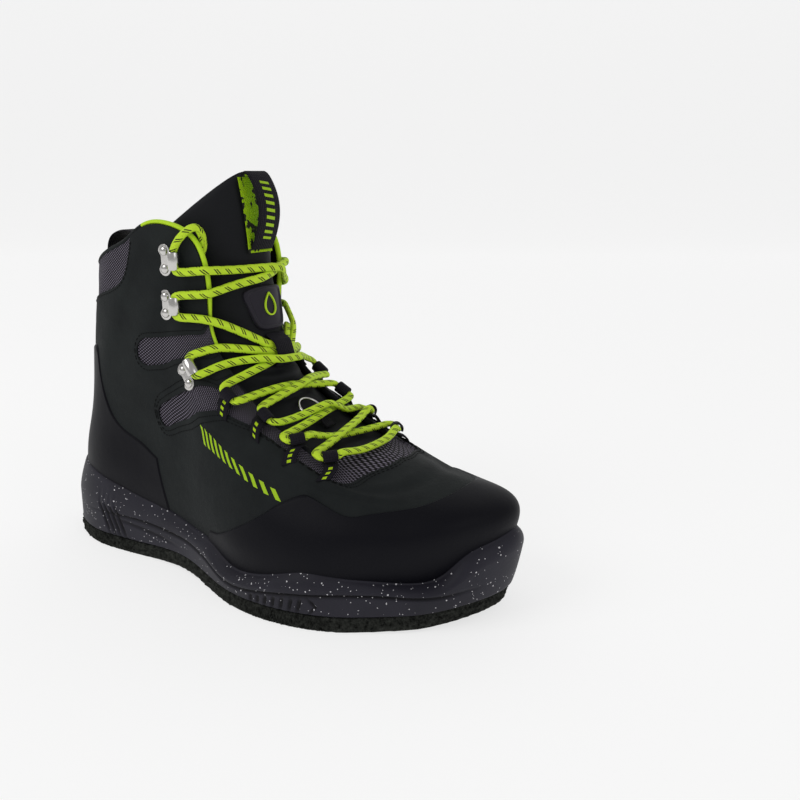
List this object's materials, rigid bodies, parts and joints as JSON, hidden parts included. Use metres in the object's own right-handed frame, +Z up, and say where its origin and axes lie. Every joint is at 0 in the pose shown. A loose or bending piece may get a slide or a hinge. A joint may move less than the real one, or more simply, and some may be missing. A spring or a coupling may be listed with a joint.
{
  "type": "wading boot",
  "caption": "Felt-soled wading boot for a right foot: hollow laced shaft, cup midsole, rubber toe rand and heel counter, padded tongue, webbing pull loops.",
  "frame": {"origin": "middle of the heel's flat spot on the ground plane", "axes": "+X towards the toe, +Y towards the inner (medial) side, +Z up"},
  "size_m": [0.3311, 0.1328, 0.243],
  "materials": {
    "felt": "dense black felt, matt",
    "midsole_rubber": "charcoal moulded rubber with fine light specks",
    "dark_lining": "dark woven lining",
    "nubuck": "matt dark green-black nubuck-like panels",
    "ballistic_mesh": "open ballistic mesh, purple-grey threads on black",
    "rand_rubber": "smooth navy-black rubber",
    "lime_trim": "bright lime binding",
    "tongue_shell": "smooth dark padded shell cloth",
    "black_webbing": "woven black webbing",
    "steel": "bright metal",
    "lace_cord": "braided lime cord with pairs of dark flecks"
  },
  "bodies": {
    "root": {"felt_outsole": "felt", "midsole": "midsole_rubber", "insole": "dark_lining", "upper": "nubuck", "toe_rand": "rand_rubber", "heel_counter": "rand_rubber", "collar_binding": "lime_trim", "tongue": "tongue_shell", "tongue_badge": "rand_rubber", "tongue_pull_loop": "black_webbing", "lace_keeper": "black_webbing", "ring": "steel", "ring_tab": "black_webbing", "heel_pull_loop": "black_webbing", "lace": "lace_cord", "lace_end_lateral": "lace_cord", "lace_end_medial": "lace_cord", "lace_hook_1_lateral": "steel", "lace_hook_1_medial": "steel", "lace_hook_2_lateral": "steel", "lace_hook_2_medial": "steel", "lace_hook_3_lateral": "steel", "lace_hook_3_medial": "steel", "lace_loop_1_lateral": "black_webbing", "lace_loop_1_medial": "black_webbing", "lace_loop_2_lateral": "black_webbing", "lace_loop_2_medial": "black_webbing", "lace_loop_3_lateral": "black_webbing", "lace_loop_3_medial": "black_webbing", "lace_loop_4_lateral": "black_webbing", "lace_loop_4_medial": "black_webbing"}
  },
  "joints": []
}
